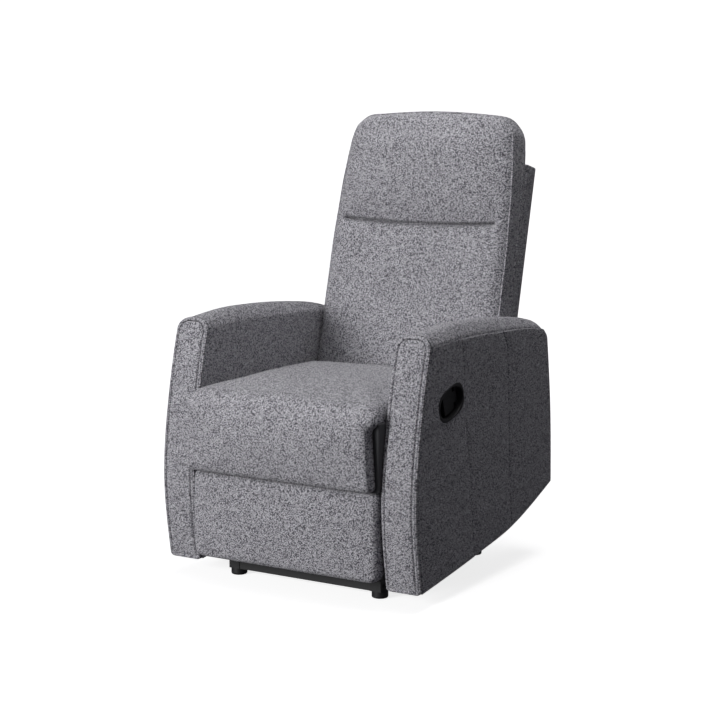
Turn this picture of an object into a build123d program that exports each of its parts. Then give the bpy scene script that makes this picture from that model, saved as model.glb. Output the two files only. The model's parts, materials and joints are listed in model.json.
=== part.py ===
from build123d import *
import math
import os

# Recliner armchair, in millimetres.
# Working frame: +X to the sitter's left (the side with the release handle), +Y to the rear,
# +Z up. y = 0 is the front of the arms at half their height and z = 0 is the floor. Each part is
# moved by -DEPTH_MIDDLE along Y when it is written, which puts the origin at the middle of the
# footprint's box. Left and right are a viewer's in front of the chair, so "right" is +X.

# ---- driving dimensions ---------------------------------------------------------------------
WIDTH = 680.0                 # over both arms
ARM_WIDTH = 86.0
SEAT_FRONT = -48.0            # front of the seat's waterfall drop
SEAT_TOP = 462.0
SEAT_DROP_BOTTOM = 270.0      # lower edge of the seat's front drop, just above the footrest
BACK_HINGE = (565.0, 295.0)   # (y, z) of the backrest hinge
BACK_LEAN = 13.77             # degrees from vertical, backrest up
BACK_HEIGHT = 671.0           # outer back panel, from the hinge along the lean
HEAD_HEIGHT = 780.0           # top of the head cushion, from the hinge along the lean
BACK_HALF = 240.0             # half width of the outer back panel
BACK_DEPTH = 41.5             # hinge line to the rear face of the back

TILT_PIVOT = (330.0, 190.0)   # seat frame on the base
LINK_ANCHOR = (424.0, 194.0)  # recline link on the base
LINK_TAIL = (582.6, 336.4)    # recline link on the back bracket

SWING_PIVOT = (133.0, 266.0)  # main footrest link on the seat plate
SWING_LENGTH = 199.6
SWING_CLOSED = -75.2          # degrees in the YZ plane, footrest folded down
PARALLEL_SHIFT = (-24.2, 14.1)     # parallel link's pivots from the main link's
COUPLER_REACH = (-136.0, 132.0)    # coupler, from the main link's end to the footrest bracket
CONTROL_OFFSET = 30.0              # control rod pivot from the main link's end

PAD_BOTTOM, PAD_TOP = 57.0, 262.0  # footrest pad, folded down
PAD_HALF = 250.0
PAD_FRONT, PAD_BACK = -18.0, 29.0
BOARD_FRONT = 14.0

GLIDE_R, GLIDE_H = 19.0, 30.0
RAIL_Z0, RAIL_Z1 = 17.0, 42.0      # base tubes
RAIL_IN, RAIL_OUT = 180.0, 208.0
RAIL_FRONT, RAIL_REAR = 78.0, 565.0
TUBE_WALL = 2.0
FRAME_Z0, FRAME_Z1 = 290.0, 375.0  # timber rails of the seat frame

HANDLE_AT = (157.0, 450.0)         # (y, z) of the release handle on the right arm
HANDLE_TILT = 15.5                 # degrees, rear end up
HANDLE_A, HANDLE_B = 57.0, 36.0    # half axes of the cup

# ---- layers of the mechanism across the chair: (inner, outer) distance from the middle ------
COUPLER_X = (197.0, 201.0)
LINK_X = (203.0, 207.0)
ROD_X = (209.0, 212.0)
BASE_PLATE_X = (208.0, 212.0)
RECLINE_X = (212.6, 215.6)
BRACKET_X = (216.0, 219.0)
SEAT_PLATE_X = (223.0, 226.0)
SIDE_RAIL_X = (226.0, 254.0)
STILE_X = (186.0, 211.0)

# ---- derived --------------------------------------------------------------------------------
HALF = WIDTH / 2
ARM_IN = HALF - ARM_WIDTH
LEAN = math.radians(BACK_LEAN)
REAR = BACK_HINGE[0] + BACK_HEIGHT * math.sin(LEAN) + BACK_DEPTH * math.cos(LEAN)
DEPTH_MIDDLE = (SEAT_FRONT + REAR) / 2
FIT = 0.05                    # radial clearance of a running pin
PIN_R, ROD_PIN_R, BIG_PIN_R = 5.0, 4.0, 6.0
BOLT_R, BOLT_HOLE_R = 3.0, 3.1


def add(p, q):
    return (p[0] + q[0], p[1] + q[1])


def polar(p, length, degrees):
    a = math.radians(degrees)
    return (p[0] + length * math.cos(a), p[1] + length * math.sin(a))


SWING_END = polar(SWING_PIVOT, SWING_LENGTH, SWING_CLOSED)
ROD_FOOT = polar(SWING_PIVOT, SWING_LENGTH - CONTROL_OFFSET, SWING_CLOSED)
PARALLEL_PIVOT = add(SWING_PIVOT, PARALLEL_SHIFT)
PARALLEL_END = add(SWING_END, PARALLEL_SHIFT)
BRACKET_PIVOT = add(SWING_END, COUPLER_REACH)
ROD_HEAD = add(ROD_FOOT, COUPLER_REACH)


# ---- shape helpers --------------------------------------------------------------------------
def block(x0, x1, y0, y1, z0, z1):
    """Box between two corners."""
    return Pos((x0 + x1) / 2, (y0 + y1) / 2, (z0 + z1) / 2) * Box(x1 - x0, y1 - y0, z1 - z0)


def pin(x0, x1, at, radius):
    """Cylinder along X at the (y, z) point."""
    return Pos((x0 + x1) / 2, at[0], at[1]) * Rot(0, 90, 0) * Cylinder(radius, x1 - x0)


def plate(face, x0, x1):
    """Flat face drawn in (y, z), made into a plate from x0 to x1."""
    return extrude(Plane.YZ.offset(x0) * face, x1 - x0)


def disc(at, radius):
    return Pos(at[0], at[1]) * Circle(radius)


def hull(*discs):
    """Face round a set of (point, radius) discs: a link, lug or gusset."""
    edges = ShapeList(edge for at, radius in discs for edge in disc(at, radius).edges())
    return make_hull(edges)


def group(solids):
    return Compound(children=list(solids))


def mirrored(shape):
    return mirror(shape, about=Plane.YZ)


def both(solids):
    """Solids on the right side and their mirror images, as one node."""
    solids = list(solids)
    return group(solids + [mirrored(s) for s in solids])


PARTS = {}


def pair(name, shape):
    """The same part on both sides, each in a node of its own."""
    PARTS[name + "_right"] = shape
    PARTS[name + "_left"] = mirrored(shape)


def stepped_pin(at, *steps):
    """Pin along X made of (x0, x1, radius) steps."""
    solid = pin(steps[0][0], steps[0][1], at, steps[0][2])
    for x0, x1, radius in steps[1:]:
        solid += pin(x0, x1, at, radius)
    return solid


# ---- base: steel rails, cross tubes, glides and side plates ---------------------------------
def base():
    rail = block(RAIL_IN, RAIL_OUT, RAIL_FRONT, RAIL_REAR, RAIL_Z0, RAIL_Z1)
    bore = block(RAIL_IN + TUBE_WALL, RAIL_OUT - TUBE_WALL, RAIL_FRONT - 1, RAIL_REAR + 1,
                 RAIL_Z0 + TUBE_WALL, RAIL_Z1 - TUBE_WALL)
    pair("base_rail", rail - bore)

    # A moulded plug closes each open end of the rails.
    plugs = []
    for end, inward in ((RAIL_FRONT, 1), (RAIL_REAR, -1)):
        ys = sorted((end, end + 10 * inward))
        stem = block(RAIL_IN + TUBE_WALL, RAIL_OUT - TUBE_WALL, *ys,
                     RAIL_Z0 + TUBE_WALL, RAIL_Z1 - TUBE_WALL)
        ys = sorted((end, end - 2 * inward))
        plugs.append(stem + block(RAIL_IN, RAIL_OUT, *ys, RAIL_Z0, RAIL_Z1))
    PARTS["base_rail_plugs"] = both(plugs)

    depth = RAIL_Z1 - RAIL_Z0
    tubes = []
    for y in (RAIL_FRONT, RAIL_REAR - depth):
        outer = block(-RAIL_IN, RAIL_IN, y, y + depth, RAIL_Z0, RAIL_Z1)
        inner = block(-RAIL_IN - 1, RAIL_IN + 1, y + TUBE_WALL, y + depth - TUBE_WALL,
                      RAIL_Z0 + TUBE_WALL, RAIL_Z1 - TUBE_WALL)
        tubes.append(outer - inner)
    PARTS["cross_tubes"] = group(tubes)

    # Saddle glides: the rail lies in a slot of each.
    middle = (RAIL_IN + RAIL_OUT) / 2
    glides = []
    for y in (RAIL_FRONT + GLIDE_R, RAIL_REAR - GLIDE_R):
        glide = Pos(middle, y, GLIDE_H / 2) * Cylinder(GLIDE_R, GLIDE_H)
        glide = fillet(glide.edges().group_by(Axis.Z)[0], 4)
        cross = block(0, RAIL_IN, 0, RAIL_REAR + 60, RAIL_Z0, RAIL_Z1)
        glides.append(glide - rail - cross)
    PARTS["floor_glides"] = both(glides)

    gusset = hull((TILT_PIVOT, 18), (LINK_ANCHOR, 16), ((250, 45), 12), ((470, 45), 12))
    gusset -= disc(TILT_PIVOT, BIG_PIN_R + FIT) + disc(LINK_ANCHOR, PIN_R)
    pair("base_side_plate", plate(gusset, *BASE_PLATE_X))

    anchor = stepped_pin(LINK_ANCHOR, (205.5, 208.0, 8), (208.0, 215.75, PIN_R),
                         (212.0, 212.45, 8), (215.75, 217.5, 8))
    PARTS["link_anchor_pins"] = both([anchor])


# ---- seat frame: side plates, timber rails, springs, cushion --------------------------------
PLATE_BOLTS = [(115, 318), (240, 318), (360, 318), (460, 318)]
ARM_BOLTS = [(120, 358), (260, 358), (400, 358)]


def seat_frame():
    strip = Pos(335, 307) * Rectangle(480, 66)
    outline = strip + hull((SWING_PIVOT, 14), (PARALLEL_PIVOT, 14))
    outline += hull((TILT_PIVOT, 18), ((280, 290), 14), ((380, 290), 14))
    outline += disc(BACK_HINGE, 20)
    for at, radius in ((SWING_PIVOT, PIN_R), (PARALLEL_PIVOT, PIN_R),
                       (TILT_PIVOT, BIG_PIN_R), (BACK_HINGE, BIG_PIN_R)):
        outline -= disc(at, radius)
    for at in PLATE_BOLTS:
        outline -= disc(at, BOLT_HOLE_R)
    pair("seat_plate", plate(outline, *SEAT_PLATE_X))

    side = block(*SIDE_RAIL_X, 6, 505, FRAME_Z0, FRAME_Z1)
    for at in PLATE_BOLTS:
        side -= pin(*SIDE_RAIL_X, at, BOLT_HOLE_R)
    for at in ARM_BOLTS:
        side -= pin(*SIDE_RAIL_X, at, BOLT_HOLE_R)
    pair("seat_side_rail", side)
    front_half = SIDE_RAIL_X[0]
    rear_half = SEAT_PLATE_X[0]
    PARTS["seat_front_rail"] = block(-front_half, front_half, 6, 26, FRAME_Z0, FRAME_Z1)
    PARTS["seat_rear_rail"] = block(-rear_half, rear_half, 485, 505, FRAME_Z0, FRAME_Z1)

    plate_bolts = [stepped_pin(at, (220.5, 223, 7), (223, 250, BOLT_R)) for at in PLATE_BOLTS]
    arm_bolts = [stepped_pin(at, (223.5, 226, 7), (226, 272, BOLT_R), (266, 271, 6))
                 for at in ARM_BOLTS]
    PARTS["seat_frame_bolts"] = both(plate_bolts + arm_bolts)

    # Fixed pins: footrest links, seat tilt and backrest hinge.
    swing = [stepped_pin(at, (200, 202.8, 8), (202.8, 226, PIN_R), (207.15, 223, 8),
                         (226, 229, 8)) for at in (SWING_PIVOT, PARALLEL_PIVOT)]
    tilt = stepped_pin(TILT_PIVOT, (204, 207.7, 10), (207.7, 226, BIG_PIN_R),
                       (212.3, 223, 11), (226, 229, 10))
    hinge = stepped_pin(BACK_HINGE, (216.1, 226, BIG_PIN_R), (219.2, 223, 11),
                        (226, 229, 10))
    PARTS["seat_frame_pins"] = both(swing + [tilt, hinge])
    seat_springs()
    seat_cushion()


def seat_springs():
    """Four sinuous wire springs from the front rail to the rear rail."""
    wave, bends, wire = 20.0, 10, 1.8
    pitch = (485 - 26 - 30) / bends
    springs = []
    for x in (-150, -50, 50, 150):
        points = [(x, 26, 368), (x, 41, 368)]
        side = 1
        for i in range(bends):
            y = 41 + i * pitch
            points += [(x + side * wave, y, 368), (x + side * wave, y + pitch, 368)]
            side = -side
        points += [(x, 470, 368), (x, 485, 368)]
        path = FilletPolyline(*points, radius=7)
        springs.append(sweep(Plane(path @ 0, z_dir=path % 0) * Circle(wire), path))
    PARTS["seat_springs"] = group(springs)


def seat_cushion():
    top = block(-252, 252, SEAT_FRONT + 6, 486, FRAME_Z1 + 1, SEAT_TOP)
    top = fillet(top.edges().group_by(Axis.Z)[-1], 20)
    drop = block(-238, 238, SEAT_FRONT, 5.5, SEAT_DROP_BOTTOM, SEAT_TOP - 22)
    drop = fillet(drop.edges().filter_by(Axis.X).group_by(Axis.Y)[0], 18)
    PARTS["seat_cushion"] = top + drop


# ---- arms -----------------------------------------------------------------------------------
FACING = 14.0                 # thickness of the padded front facing
PANEL_OUT, PANEL_IN = 14.0, 12.0
REAR_WALL = 12.0
FRONT_POINTS = [(22, 40), (-1, 245), (24, 440), (59, 581), (66, 603)]   # (y, z), foot to crown
REAR_FOOT, REAR_HEAD = (673, 177), (641, 542)
ARM_TIMBERS = [                             # corners of the boards inside an arm, (y, z)
    [(42, 62), (64, 64), (100, 560), (78, 560)],
    [(618, 178), (640, 184), (628, 545), (606, 548)],
    [(100, 539), (606, 525), (606, 547), (100, 561)],
    [(64, 64), (618, 178), (618, 200), (64, 86)],
    [(436, 163), (458, 167), (458, 529), (436, 529)],
]


def front_curve(shift=0.0):
    return Spline(*[(y + shift, z) for y, z in FRONT_POINTS])


def rear_curve(shift=0.0):
    points = [REAR_HEAD, (664, 370), REAR_FOOT]
    return ThreePointArc(*[(y + shift, z) for y, z in points])


def arm_core():
    """Side view of an arm behind its front facing."""
    front = front_curve(FACING)
    crest = Spline(front @ 1, (190, 615), (390, 609), (600, 580))
    corner = Line(crest @ 1, REAR_HEAD)
    rear = rear_curve()
    bottom = Spline(REAR_FOOT, (464, 105), (294, 76), front @ 0)
    return make_face(Curve() + [front, crest, corner, rear, bottom])


def above_seam():
    """Everything over the seam between the side panels and the top pad."""
    seam = Spline((-20, 577), (191, 587), (381, 582), (565, 570), (680, 549))
    rest = Polyline(seam @ 1, (680, 700), (-20, 700), seam @ 0)
    return make_face(Curve() + [seam, rest])


def arms():
    core = arm_core()
    sides = core - above_seam()
    inner = plate(sides, ARM_IN, ARM_IN + PANEL_IN)
    outer = plate(sides, HALF - PANEL_OUT, HALF)
    for at in ARM_BOLTS:
        inner -= pin(ARM_IN, ARM_IN + PANEL_IN, at, BOLT_HOLE_R)
    PARTS["arm_inner_panel_left"] = mirrored(inner)
    PARTS["arm_outer_panel_left"] = mirrored(outer)
    PARTS["arm_inner_panel_right"] = inner - pin(ARM_IN, ARM_IN + PANEL_IN, CABLE_EXIT, 3)
    PARTS["arm_outer_panel_right"] = outer - cup_space()

    pad = plate(core & above_seam(), ARM_IN, HALF)
    crest = pad.edges().filter_by(lambda e: e.center().Z > 590 and e.length > 300)
    pair("arm_top_pad", fillet(crest, 20))

    # Timber boards between the two panels, and the wall that closes the rear edge.
    inside = (ARM_IN + PANEL_IN, HALF - PANEL_OUT)
    boards = [make_face(Polyline(*corners, close=True)) for corners in ARM_TIMBERS]
    PARTS["arm_frames"] = both(plate(board, *inside) for board in boards)
    outside, under = rear_curve(), rear_curve(-REAR_WALL)
    wall = make_face(Curve() + [outside, Line(outside @ 1, under @ 1), under,
                                Line(under @ 0, outside @ 0)])
    PARTS["arm_rear_walls"] = both([plate(wall, *inside)])

    # Padded facing on the front, with a round-cornered top.
    front, back = front_curve(), front_curve(FACING)
    strip = make_face(Curve() + [front, Line(front @ 1, back @ 1), back,
                                 Line(back @ 0, front @ 0)])
    facing = plate(strip, ARM_IN, HALF)
    corners = facing.edges().filter_by(Axis.Y).group_by(Axis.Z)[-1]
    pair("arm_front_facing", fillet(corners, 26))


# ---- release handle and cable in the right arm ----------------------------------------------
CABLE_EXIT = (175.0, 256.0)
CUP_DEPTH, CUP_WALL = 36.0, 4.0
LEVER_AXIS = 40.0             # hinge of the lever from the cup's middle, towards the rear
LEVER_Z = -14.0               # depth of that hinge under the arm's face


def handle_plane():
    """Local x along the cup's long axis to the rear, local z out of the arm."""
    a = math.radians(HANDLE_TILT)
    return Plane((HALF, *HANDLE_AT), x_dir=(0, math.cos(a), math.sin(a)), z_dir=(1, 0, 0))


def cup_space():
    return handle_plane() * (Pos(0, 0, -CUP_DEPTH) * extrude(Ellipse(HANDLE_A, HANDLE_B),
                                                             CUP_DEPTH))


def handle():
    inside = Ellipse(HANDLE_A - CUP_WALL, HANDLE_B - CUP_WALL)
    shell = Pos(0, 0, -CUP_DEPTH) * extrude(Ellipse(HANDLE_A, HANDLE_B), CUP_DEPTH)
    room = Pos(0, 0, -CUP_DEPTH + 3) * extrude(inside, CUP_DEPTH)
    axle = Pos(LEVER_AXIS, 0, LEVER_Z) * Rot(90, 0, 0)
    ears = block(35, 45, -30, -14.5, -CUP_DEPTH + 3, -9) + block(35, 45, 14.5, 30,
                                                                -CUP_DEPTH + 3, -9)
    cup = (shell - room) + (ears & room)
    PARTS["handle_cup"] = handle_plane() * (cup - axle * Cylinder(2, 40))
    lever_pin = handle_plane() * (axle * Cylinder(2, 38))
    PARTS["seat_frame_pins"] = group([*PARTS["seat_frame_pins"].solids(), lever_pin])

    # Paddle: wide at the finger end, a narrow neck between the ears, a barrel on the pin.
    paddle = extrude(Ellipse(HANDLE_A - CUP_WALL - 2, HANDLE_B - CUP_WALL - 4), 5)
    paddle = Pos(0, 0, LEVER_Z) * paddle & block(-18, 26, -40, 40, -20, 0)
    neck = block(20, LEVER_AXIS, -13, 13, LEVER_Z, LEVER_Z + 5)
    lip = block(-18, -14, -17, 17, LEVER_Z - 6, LEVER_Z)
    lever = paddle + neck + lip + axle * Cylinder(5, 26)
    PARTS["handle_lever"] = handle_plane() * (lever - axle * Cylinder(2 + FIT, 30))

    # Cable from the back of the cup down inside the arm and in under the seat rail.
    y, z = CABLE_EXIT
    route = FilletPolyline((HALF - CUP_DEPTH, y, 445), (285, y, 445), (285, y, z), (228, y, z),
                           radius=16)
    PARTS["release_cable"] = sweep(Plane(route @ 0, z_dir=route % 0) * Circle(2.5), route)


# ---- backrest, drawn in its own plane: x across, y up the lean, z forwards -------------------
def back_plane():
    return Plane((0, *BACK_HINGE), x_dir=(1, 0, 0),
                 z_dir=(0, -math.cos(LEAN), math.sin(LEAN)))


def back_point(up, forward):
    """(y, z) of a place on the back's own plane."""
    return (BACK_HINGE[0] + up * math.sin(LEAN) - forward * math.cos(LEAN),
            BACK_HINGE[1] + up * math.cos(LEAN) + forward * math.sin(LEAN))


BACK_BOARD = 8.0
CUSHION_BACK, CUSHION_FRONT = 2.0, 93.0
CREASE = 512.5                # between the lower and the head cushion, along the lean
BRACKET_BOLTS = [(100.0, -16.0), (138.0, -16.0)]


def backrest():
    plane = back_plane()
    rear, board = -BACK_DEPTH, -BACK_DEPTH + BACK_BOARD
    outer = block(-BACK_HALF, BACK_HALF, 10, BACK_HEIGHT, rear, board)
    PARTS["back_outer_panel"] = plane * fillet(outer.edges().filter_by(Axis.Y), 3)
    stile = plane * block(*STILE_X, -14, BACK_HEIGHT - 30, board, 0)
    for up, forward in BRACKET_BOLTS:
        stile -= pin(195, STILE_X[1], back_point(up, forward), 4)
    pair("back_stile", stile)
    rails = [(-STILE_X[0], STILE_X[0], 55, 90), (-STILE_X[0], STILE_X[0], 340, 370),
             (-STILE_X[1], STILE_X[1], BACK_HEIGHT - 30, BACK_HEIGHT)]
    PARTS["back_rails"] = group(plane * block(*r, board, 0) for r in rails)
    side = (block(222, BACK_HALF, 75, 160, board, 0)
            + block(STILE_X[1], BACK_HALF, 160, BACK_HEIGHT, board, 0))
    PARTS["back_side_boards"] = both([plane * side])
    straps = [block(-205, 205, 120 + i * 108, 170 + i * 108, 0, 1.6) for i in range(5)]
    PARTS["back_webbing"] = group(plane * s for s in straps)

    bracket = hull((BACK_HINGE, 13), (LINK_TAIL, 12), (back_point(138, -16), 12))
    bracket -= disc(BACK_HINGE, BIG_PIN_R + FIT) + disc(LINK_TAIL, ROD_PIN_R)
    for up, forward in BRACKET_BOLTS:
        bracket -= disc(back_point(up, forward), 4)
    pair("back_bracket", plate(bracket, *BRACKET_X))

    bolts = [stepped_pin(back_point(*at), (195, 221.5, 4), (211, 216, 9), (219, 221.5, 7))
             for at in BRACKET_BOLTS]
    tail = stepped_pin(LINK_TAIL, (211.3, 212.4, 8), (212.4, 219, ROD_PIN_R), (219, 220.5, 7))
    PARTS["back_bracket_bolts"] = both(bolts + [tail])

    lower = Polyline((-246, 92), (246, 92), (237, CREASE), (-237, CREASE), close=True)
    head = Polyline((-237, CREASE + 0.5), (237, CREASE + 0.5), (206, HEAD_HEIGHT),
                    (-206, HEAD_HEIGHT), close=True)
    for name, outline in (("back_cushion_lower", lower), ("back_cushion_head", head)):
        thick = CUSHION_FRONT - CUSHION_BACK
        pad = Pos(0, 0, CUSHION_BACK) * extrude(make_face(outline), thick)
        if name == "back_cushion_head":
            pad = fillet(pad.edges().filter_by(Axis.Z).group_by(Axis.Y)[-1], 45)
        PARTS[name] = plane * fillet(pad.faces().sort_by(Axis.Z)[-1].edges(), 22)

    link = hull((LINK_ANCHOR, 9), (LINK_TAIL, 9))
    link -= disc(LINK_ANCHOR, PIN_R + FIT) + disc(LINK_TAIL, ROD_PIN_R + 0.9)
    pair("recline_link", plate(link, *RECLINE_X))


# ---- footrest: pad on a board, brackets and the double parallelogram linkage ------------------
def footrest():
    width, height = 2 * PAD_HALF, PAD_TOP - PAD_BOTTOM
    face = Pos(0, (PAD_BOTTOM + PAD_TOP) / 2) * RectangleRounded(width, height, 24)
    pad = extrude(Plane.XZ.offset(-PAD_BACK) * face, PAD_BACK - PAD_FRONT)
    pad = fillet(pad.faces().sort_by(Axis.Y)[0].edges(), 15)
    board = block(-225, 225, BOARD_FRONT, PAD_BACK, 75, 248)
    PARTS["footrest_pad"] = pad - board

    web = hull((BRACKET_PIVOT, 12), (ROD_HEAD, 9), ((34, 100), 4), ((34, 240), 4))
    web &= Pos(PAD_BACK + 50, 170) * Rectangle(100, 300)
    web -= disc(BRACKET_PIVOT, PIN_R + FIT) + disc(ROD_HEAD, ROD_PIN_R + FIT)
    flange = block(LINK_X[0], 225, PAD_BACK, PAD_BACK + 3, 97, 215)
    bracket = plate(web, *LINK_X) + flange
    bolts = []
    for z in (115, 190):
        across = Pos(216, PAD_BACK + 3, z) * Rot(90, 0, 0)
        hole = across * Cylinder(BOLT_HOLE_R, 2 * (PAD_BACK + 3 - BOARD_FRONT))
        bracket -= hole
        board -= hole + mirrored(hole)
        bolts.append(across * Pos(0, 0, 8) * Cylinder(BOLT_R, 16)
                     + across * Pos(0, 0, -1.5) * Cylinder(6, 3))
    pair("footrest_bracket", bracket)
    PARTS["footrest_board"] = board
    PARTS["footrest_bolts"] = both(bolts)

    main = hull((SWING_PIVOT, 9), (SWING_END, 9))
    main -= disc(SWING_PIVOT, PIN_R + FIT) + disc(SWING_END, PIN_R + FIT)
    main -= disc(ROD_FOOT, ROD_PIN_R + FIT)
    pair("main_link", plate(main, *LINK_X))
    parallel = hull((PARALLEL_PIVOT, 8), (PARALLEL_END, 8))
    parallel -= disc(PARALLEL_PIVOT, PIN_R + FIT) + disc(PARALLEL_END, PIN_R + 2 * FIT)
    pair("parallel_link", plate(parallel, *LINK_X))
    coupler = hull((SWING_END, 11), (PARALLEL_END, 10), (BRACKET_PIVOT, 11))
    for at in (SWING_END, PARALLEL_END, BRACKET_PIVOT):
        coupler -= disc(at, PIN_R)
    pair("coupler", plate(coupler, *COUPLER_X))
    rod = hull((ROD_FOOT, 7), (ROD_HEAD, 7)) - disc(ROD_FOOT, ROD_PIN_R)
    pair("control_rod", plate(rod - disc(ROD_HEAD, ROD_PIN_R), *ROD_X))

    PARTS["coupler_pins"] = both(
        stepped_pin(at, (195.5, 197, 8), (197, 208.6, PIN_R), (201, 202.85, 8),
                    (207.15, 208.6, 8)) for at in (SWING_END, PARALLEL_END, BRACKET_PIVOT))
    PARTS["control_rod_pins"] = both(
        stepped_pin(at, (201.4, 202.85, 7), (202.85, 213.5, ROD_PIN_R), (207.15, 209, 7),
                    (212, 213.5, 7)) for at in (ROD_FOOT, ROD_HEAD))

    # Torque tube: keeps the two main links in step.
    at = polar(SWING_PIVOT, 60, SWING_CLOSED)
    PARTS["torque_tube"] = pin(-LINK_X[0], LINK_X[0], at, 10) - pin(-210, 210, at, 8)


base()
seat_frame()
arms()
handle()
backrest()
footrest()

os.makedirs("parts", exist_ok=True)
for node, shape in PARTS.items():
    export_step(Pos(0, -DEPTH_MIDDLE, 0) * shape, f"parts/{node}.step")
print(len(PARTS), "nodes, depth middle", round(DEPTH_MIDDLE, 3))
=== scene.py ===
import math

import bpy
import numpy as np
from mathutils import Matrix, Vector
from mathutils.bvhtree import BVHTree
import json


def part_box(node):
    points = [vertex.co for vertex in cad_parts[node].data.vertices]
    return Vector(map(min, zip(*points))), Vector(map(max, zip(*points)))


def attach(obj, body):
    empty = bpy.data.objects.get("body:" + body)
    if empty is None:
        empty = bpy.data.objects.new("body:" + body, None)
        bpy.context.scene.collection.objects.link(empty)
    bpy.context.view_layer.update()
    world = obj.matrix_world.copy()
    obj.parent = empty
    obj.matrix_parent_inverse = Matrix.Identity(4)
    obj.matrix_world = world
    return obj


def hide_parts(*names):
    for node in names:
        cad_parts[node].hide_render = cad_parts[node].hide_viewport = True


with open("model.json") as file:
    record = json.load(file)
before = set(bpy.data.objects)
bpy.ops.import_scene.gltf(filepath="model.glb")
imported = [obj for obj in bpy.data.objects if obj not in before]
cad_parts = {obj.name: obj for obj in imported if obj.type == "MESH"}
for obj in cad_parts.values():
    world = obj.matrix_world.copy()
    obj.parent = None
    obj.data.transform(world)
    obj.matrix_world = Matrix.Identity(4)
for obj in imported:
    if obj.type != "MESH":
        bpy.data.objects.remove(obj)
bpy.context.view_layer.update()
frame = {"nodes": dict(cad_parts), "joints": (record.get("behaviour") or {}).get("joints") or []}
nodes = frame["nodes"]
scene = bpy.context.scene


# ---- steel base and mechanism -------------------------------------------------------------------
# Rectangular tube, laser-cut side plates and flat links, all powder coated in satin black. They
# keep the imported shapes; the coat is a fine orange peel with paler, smoother rubbed patches.
class Wire:
    """One socket in an expression; + - * / > and their reflected forms add Math nodes."""

    def __init__(self, finish, socket):
        self.finish, self.socket = finish, socket

    def _math(self, operation, *values):
        inputs = dict(enumerate(values))
        return self.finish.node("ShaderNodeMath", {"operation": operation}, inputs)

    def __add__(self, other):
        return self._math("ADD", self, other)

    def __radd__(self, other):
        return self._math("ADD", other, self)

    def __sub__(self, other):
        return self._math("SUBTRACT", self, other)

    def __rsub__(self, other):
        return self._math("SUBTRACT", other, self)

    def __mul__(self, other):
        return self._math("MULTIPLY", self, other)

    def __rmul__(self, other):
        return self._math("MULTIPLY", other, self)

    def __truediv__(self, other):
        return self._math("DIVIDE", self, other)

    def __gt__(self, other):
        return self._math("GREATER_THAN", self, other)

    def __abs__(self):
        return self._math("ABSOLUTE", self)

    def __pow__(self, power):
        return self._math("POWER", self, power)

    def sine(self):
        return self._math("SINE", self)

    def floored(self):
        return self._math("FLOOR", self)

    def clamped(self):
        return self.finish.node("ShaderNodeClamp", {}, {0: self})


class Finish:
    """A material under construction: node() adds a node, surface() wires the shader."""

    def __init__(self, name):
        self.material = bpy.data.materials.new(name)
        self.material.use_nodes = True
        self.tree = self.material.node_tree
        self.tree.nodes.clear()

    def node(self, kind, settings, inputs, output=0):
        made = self.tree.nodes.new(kind)
        for key, value in settings.items():
            if key == "stops":
                ramp = made.color_ramp
                for place, colour in value[len(ramp.elements):]:
                    ramp.elements.new(place)
                for stop, (place, colour) in zip(ramp.elements, value):
                    stop.position, stop.color = place, (*colour, 1.0)
            else:
                setattr(made, key, value)
        for key, value in inputs.items():
            if isinstance(value, Wire):
                self.tree.links.new(value.socket, made.inputs[key])
            else:
                made.inputs[key].default_value = value
        return Wire(self, made.outputs[output]) if made.outputs else None

    def place(self):
        """Object coordinates, in metres."""
        return self.node("ShaderNodeTexCoord", {}, {}, "Object")

    def parts(self, vector):
        """The three numbers of a vector."""
        split = self.tree.nodes.new("ShaderNodeSeparateXYZ")
        self.tree.links.new(vector.socket, split.inputs[0])
        return [Wire(self, split.outputs[i]) for i in range(3)]

    def join(self, x, y, z=0.0):
        return self.node("ShaderNodeCombineXYZ", {}, {0: x, 1: y, 2: z})

    def stretched(self, vector, scale):
        return self.node("ShaderNodeMapping", {}, {"Vector": vector, "Scale": scale})

    def noise(self, vector, scale, detail=2.0, roughness=0.5, dimensions="3D"):
        return self.node("ShaderNodeTexNoise", {"noise_dimensions": dimensions},
                         {"Vector": vector, "Scale": scale, "Detail": detail,
                          "Roughness": roughness})

    def ramp(self, factor, *stops):
        return self.node("ShaderNodeValToRGB", {"stops": stops}, {0: factor})

    def mix(self, factor, a, b):
        return self.node("ShaderNodeMix", {"data_type": "RGBA"},
                         {0: factor, 6: a, 7: b}, 2)

    def bump(self, height, strength, distance):
        return self.node("ShaderNodeBump", {}, {"Height": height, "Strength": strength,
                                                "Distance": distance})

    def surface(self, **inputs):
        shader = self.node("ShaderNodeBsdfPrincipled", {},
                           {key.replace("_", " "): value for key, value in inputs.items()})
        self.node("ShaderNodeOutputMaterial", {}, {"Surface": shader})
        return self.material


def powder_coat():
    f = Finish("satin_powder_coat")
    p = f.place()
    peel = f.noise(p, 900.0, 2.0)
    rubbed = f.ramp(f.noise(p, 14.0, 4.0), (0.45, (0, 0, 0)), (0.75, (1, 1, 1)))
    colour = f.mix(rubbed, (0.012, 0.012, 0.013, 1), (0.022, 0.022, 0.023, 1))
    return f.surface(Base_Color=colour, Roughness=0.5 - 0.12 * rubbed,
                     Normal=f.bump(peel, 0.25, 0.0004))


def wear(node, finish):
    """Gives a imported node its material."""
    nodes[node].data.materials.clear()
    nodes[node].data.materials.append(finish)


black_coat = powder_coat()
for name in ("base_rail", "base_side_plate", "seat_plate", "back_bracket", "recline_link",
             "main_link", "parallel_link", "coupler", "control_rod", "footrest_bracket"):
    for side in ("left", "right"):
        wear(f"{name}_{side}", black_coat)
wear("cross_tubes", black_coat)
wear("torque_tube", black_coat)


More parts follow.
